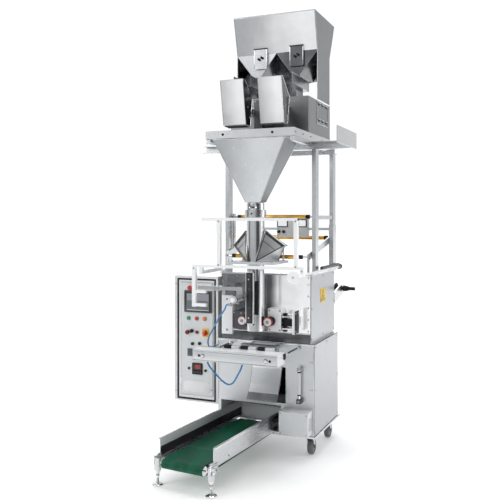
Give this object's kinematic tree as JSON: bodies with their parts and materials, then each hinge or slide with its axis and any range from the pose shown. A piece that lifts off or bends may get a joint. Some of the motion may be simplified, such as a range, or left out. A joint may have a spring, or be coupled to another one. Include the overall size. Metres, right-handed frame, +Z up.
{
  "type": "vertical form fill sealer",
  "caption": "Castered vertical form fill sealer with hopper, linear weigher, funnel, forming tube, film rollers, pull wheels, sealing jaws, control box and take-off conveyor.",
  "frame": {"origin": "centre of the footprint at floor level, under the casters and conveyor feet", "axes": "+Z up, -Y towards the operator and the conveyor's outlet, +X to the operator's right"},
  "size_m": [1.193, 1.5782, 2.801],
  "materials": {
    "stainless": "brushed stainless sheet",
    "polished": "bright polished stainless",
    "white_paint": "satin off-white paint",
    "black_plastic": "matt black",
    "wheel_rubber": "grey-black rubber tread",
    "chrome": "bright plated",
    "gold_anodised": "gold anodised",
    "red_plastic": "red",
    "green_plastic": "green",
    "pull_wheel": "red rim on a bright hub",
    "belt_green": "green PVC belt",
    "hose_blue": "light blue polyurethane hose",
    "dark_steel": "dark grey"
  },
  "bodies": {
    "machine": {"lower_cabinet": "stainless", "lower_side_panel": "stainless", "upper_cabinet": "stainless", "upper_side_panel": "stainless", "front_plate": "polished", "motor_cover_box": "stainless", "drive_motor": "dark_steel", "post_frame_left": "stainless", "post_frame_right": "stainless", "platform_frame": "stainless", "weigher_tray": "stainless", "weigher_drive_box": "stainless", "hopper": "polished", "feeder_pans": "stainless", "product_funnel": "stainless", "forming_tube": "polished", "forming_collar": "stainless", "film_frame": "stainless", "reel_stand": "stainless", "guard_frame": "white_paint", "pull_unit_left": "stainless", "pull_unit_right": "stainless", "discharge_chute": "stainless", "control_box": "white_paint", "hose_upper": "hose_blue", "weigh_bucket_left": "polished", "weigh_bucket_right": "polished", "conveyor_frame": "stainless", "conveyor_belt": "belt_green"},
    "caster_fork_front_left": {"caster_fork_front_left": "stainless"},
    "caster_wheel_front_left": {"caster_wheel_front_left": "wheel_rubber"},
    "caster_fork_front_right": {"caster_fork_front_right": "stainless"},
    "caster_wheel_front_right": {"caster_wheel_front_right": "wheel_rubber"},
    "caster_fork_rear_left": {"caster_fork_rear_left": "stainless"},
    "caster_wheel_rear_left": {"caster_wheel_rear_left": "wheel_rubber"},
    "caster_fork_rear_right": {"caster_fork_rear_right": "stainless"},
    "caster_wheel_rear_right": {"caster_wheel_rear_right": "wheel_rubber"},
    "film_roller_top": {"film_roller_top": "gold_anodised"},
    "film_roller_low": {"film_roller_low": "gold_anodised"},
    "film_roller_rear": {"film_roller_rear": "gold_anodised"},
    "reel_shaft": {"reel_shaft": "black_plastic"},
    "pull_roller_left": {"pull_roller_left": "pull_wheel"},
    "pull_roller_right": {"pull_roller_right": "pull_wheel"},
    "belt_roller_front": {"belt_roller_front": "chrome"},
    "belt_roller_rear": {"belt_roller_rear": "chrome"},
    "hopper_gate_left": {"hopper_gate_left": "polished"},
    "hopper_gate_right": {"hopper_gate_right": "polished"},
    "bucket_flap_left": {"bucket_flap_left": "dark_steel"},
    "bucket_flap_right": {"bucket_flap_right": "dark_steel"},
    "vertical_seal_bar": {"vertical_seal_bar": "dark_steel"},
    "jaw_crosshead": {"jaw_crosshead": "stainless", "hose_lower": "hose_blue"},
    "rear_jaw": {"rear_jaw": "dark_steel"},
    "control_door": {"control_door": "white_paint"},
    "emergency_stop": {"emergency_stop": "red_plastic"},
    "start_button": {"start_button": "green_plastic"},
    "stop_button": {"stop_button": "red_plastic"},
    "main_switch": {"main_switch": "red_plastic"},
    "conveyor_foot_left": {"conveyor_foot_left": "chrome"},
    "conveyor_foot_right": {"conveyor_foot_right": "chrome"}
  },
  "joints": [
    {"name": "caster_swivel_front_left", "type": "hinge", "parent": "machine", "child": "caster_fork_front_left", "pos_m": [-0.2335, 0.06015, 0.118], "axis": [0, 0, 1], "continuous": true},
    {"name": "caster_roll_front_left", "type": "hinge", "parent": "caster_fork_front_left", "child": "caster_wheel_front_left", "pos_m": [-0.2335, 0.08215, 0.05], "axis": [1, 0, 0], "continuous": true},
    {"name": "caster_swivel_front_right", "type": "hinge", "parent": "machine", "child": "caster_fork_front_right", "pos_m": [0.3245, 0.06015, 0.118], "axis": [0, 0, 1], "continuous": true},
    {"name": "caster_roll_front_right", "type": "hinge", "parent": "caster_fork_front_right", "child": "caster_wheel_front_right", "pos_m": [0.3245, 0.08215, 0.05], "axis": [1, 0, 0], "continuous": true},
    {"name": "caster_swivel_rear_left", "type": "hinge", "parent": "machine", "child": "caster_fork_rear_left", "pos_m": [-0.2335, 0.42115, 0.118], "axis": [0, 0, 1], "continuous": true},
    {"name": "caster_roll_rear_left", "type": "hinge", "parent": "caster_fork_rear_left", "child": "caster_wheel_rear_left", "pos_m": [-0.2335, 0.44315, 0.05], "axis": [1, 0, 0], "continuous": true},
    {"name": "caster_swivel_rear_right", "type": "hinge", "parent": "machine", "child": "caster_fork_rear_right", "pos_m": [0.3245, 0.42115, 0.118], "axis": [0, 0, 1], "continuous": true},
    {"name": "caster_roll_rear_right", "type": "hinge", "parent": "caster_fork_rear_right", "child": "caster_wheel_rear_right", "pos_m": [0.3245, 0.44315, 0.05], "axis": [1, 0, 0], "continuous": true},
    {"name": "roller_top_spin", "type": "hinge", "parent": "machine", "child": "film_roller_top", "pos_m": [0.0455, 0.13915, 1.483], "axis": [1, 0, 0], "continuous": true},
    {"name": "roller_low_spin", "type": "hinge", "parent": "machine", "child": "film_roller_low", "pos_m": [0.0455, 0.02715, 1.232], "axis": [1, 0, 0], "continuous": true},
    {"name": "roller_rear_spin", "type": "hinge", "parent": "machine", "child": "film_roller_rear", "pos_m": [0.0455, 0.54215, 1.339], "axis": [1, 0, 0], "continuous": true},
    {"name": "reel_spin", "type": "hinge", "parent": "machine", "child": "reel_shaft", "pos_m": [0.0455, 0.72915, 0.975], "axis": [1, 0, 0], "continuous": true},
    {"name": "pull_spin_left", "type": "hinge", "parent": "machine", "child": "pull_roller_left", "pos_m": [-0.0385, -0.16085, 0.847], "axis": [0, 1, 0], "continuous": true},
    {"name": "pull_spin_right", "type": "hinge", "parent": "machine", "child": "pull_roller_right", "pos_m": [0.1295, -0.16085, 0.847], "axis": [0, 1, 0], "continuous": true},
    {"name": "belt_spin_front", "type": "hinge", "parent": "machine", "child": "belt_roller_front", "pos_m": [-0.1368, -0.74074, 0.1247], "axis": [0.9954, -0.0957, 0], "continuous": true},
    {"name": "belt_spin_rear", "type": "hinge", "parent": "machine", "child": "belt_roller_rear", "pos_m": [-0.05433, 0.1173, 0.1292], "axis": [0.9954, -0.0957, 0], "continuous": true},
    {"name": "gate_slide_left", "type": "slide", "parent": "machine", "child": "hopper_gate_left", "axis": [0, 0, 1], "range_m": [-0.025, 0]},
    {"name": "gate_slide_right", "type": "slide", "parent": "machine", "child": "hopper_gate_right", "axis": [0, 0, 1], "range_m": [-0.025, 0]},
    {"name": "flap_left", "type": "hinge", "parent": "machine", "child": "bucket_flap_left", "pos_m": [-0.0765, -0.13785, 2.036], "axis": [1, 0, 0], "range_deg": [0, 60]},
    {"name": "flap_right", "type": "hinge", "parent": "machine", "child": "bucket_flap_right", "pos_m": [0.1675, -0.13785, 2.036], "axis": [1, 0, 0], "range_deg": [0, 60]},
    {"name": "vertical_seal", "type": "slide", "parent": "machine", "child": "vertical_seal_bar", "axis": [0, 1, 0], "range_m": [-0.012, 0.002]},
    {"name": "front_jaw_close", "type": "slide", "parent": "machine", "child": "jaw_crosshead", "axis": [0, 1, 0], "range_m": [0, 0.044]},
    {"name": "rear_jaw_close", "type": "slide", "parent": "machine", "child": "rear_jaw", "axis": [0, 1, 0], "range_m": [-0.044, 0]},
    {"name": "door_hinge", "type": "hinge", "parent": "machine", "child": "control_door", "pos_m": [-0.5485, -0.01385, 0.682], "axis": [0, 0, 1], "range_deg": [-100, 0]},
    {"name": "emergency_press", "type": "slide", "parent": "control_door", "child": "emergency_stop", "axis": [0, 1, 0], "range_m": [0, 0.005], "stiffness_N_per_m": 400, "springref_m": -0.003},
    {"name": "start_press", "type": "slide", "parent": "control_door", "child": "start_button", "axis": [0, 1, 0], "range_m": [0, 0.003], "stiffness_N_per_m": 400, "springref_m": -0.003},
    {"name": "stop_press", "type": "slide", "parent": "control_door", "child": "stop_button", "axis": [0, 1, 0], "range_m": [0, 0.003], "stiffness_N_per_m": 400, "springref_m": -0.003},
    {"name": "main_switch_turn", "type": "hinge", "parent": "control_door", "child": "main_switch", "pos_m": [-0.3675, -0.01385, 0.726], "axis": [0, 1, 0], "range_deg": [0, 90]},
    {"name": "foot_height_left", "type": "slide", "parent": "machine", "child": "conveyor_foot_left", "axis": [0, 0, 1], "range_m": [-0.02, 0.009]},
    {"name": "foot_height_right", "type": "slide", "parent": "machine", "child": "conveyor_foot_right", "axis": [0, 0, 1], "range_m": [-0.02, 0.009]}
  ],
  "couplings": [
    {"joint": "pull_spin_left", "follows": "pull_spin_right", "ratio": -1},
    {"joint": "belt_spin_rear", "follows": "belt_spin_front", "ratio": 1.204},
    {"joint": "rear_jaw_close", "follows": "front_jaw_close", "ratio": -1}
  ]
}
